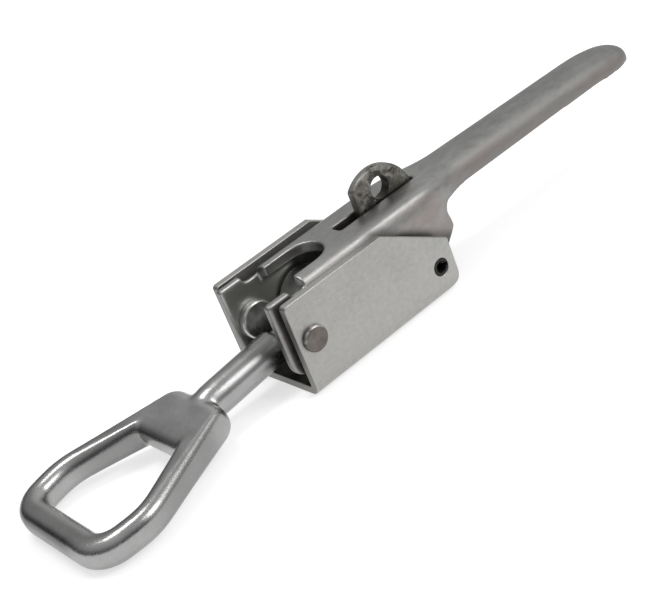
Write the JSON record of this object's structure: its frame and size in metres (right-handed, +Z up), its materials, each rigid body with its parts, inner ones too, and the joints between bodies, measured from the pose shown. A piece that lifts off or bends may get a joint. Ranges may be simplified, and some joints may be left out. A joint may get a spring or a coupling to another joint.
{
  "type": "over-centre lever clamp",
  "caption": "Over-centre lever clamp: folded steel base channel, pressed lever with a half-round grip, forged eye bolt on a trunnion, and an upright lock lug.",
  "frame": {"origin": "centre of the base channel's underside", "axes": "+X along the pull from the eye towards the grip, +Y across the channel, +Z up out of the channel"},
  "size_m": [0.3639, 0.0782, 0.0617],
  "materials": {
    "base_steel": "satin zinc-plated sheet",
    "lever_steel": "satin pressed sheet with lengthwise brush marks",
    "pin_steel": "turned steel, satin",
    "inner_steel": "turned steel, dull",
    "zinc_steel": "bright zinc on a forged surface",
    "lug_steel": "blotchy dull steel with polished edges",
    "black_steel": "black oxide"
  },
  "bodies": {
    "base": {"base_channel": "base_steel", "pivot_pin_near": "pin_steel", "pivot_pin_far": "pin_steel", "lug_pin": "black_steel"},
    "handle": {"handle_lever": "lever_steel"},
    "eye": {"trunnion": "inner_steel", "eye_bolt": "zinc_steel"},
    "lug": {"lock_lug": "lug_steel", "lug_sleeve": "inner_steel"}
  },
  "joints": [
    {"name": "handle_lift", "type": "hinge", "parent": "base", "child": "handle", "pos_m": [-0.0361, 0, 0.025], "axis": [0, -1, 0], "range_deg": [0, 100]},
    {"name": "eye_swing", "type": "hinge", "parent": "handle", "child": "eye", "pos_m": [-0.0092, 0, 0.0203], "axis": [0, -1, 0], "range_deg": [-93, 0]},
    {"name": "lug_swing", "type": "hinge", "parent": "base", "child": "lug", "pos_m": [0.0362, 0, 0.014], "axis": [0, -1, 0], "range_deg": [-1, 17]}
  ],
  "couplings": [
    {"joint": "eye_swing", "follows": "handle_lift", "ratio": -0.93}
  ]
}
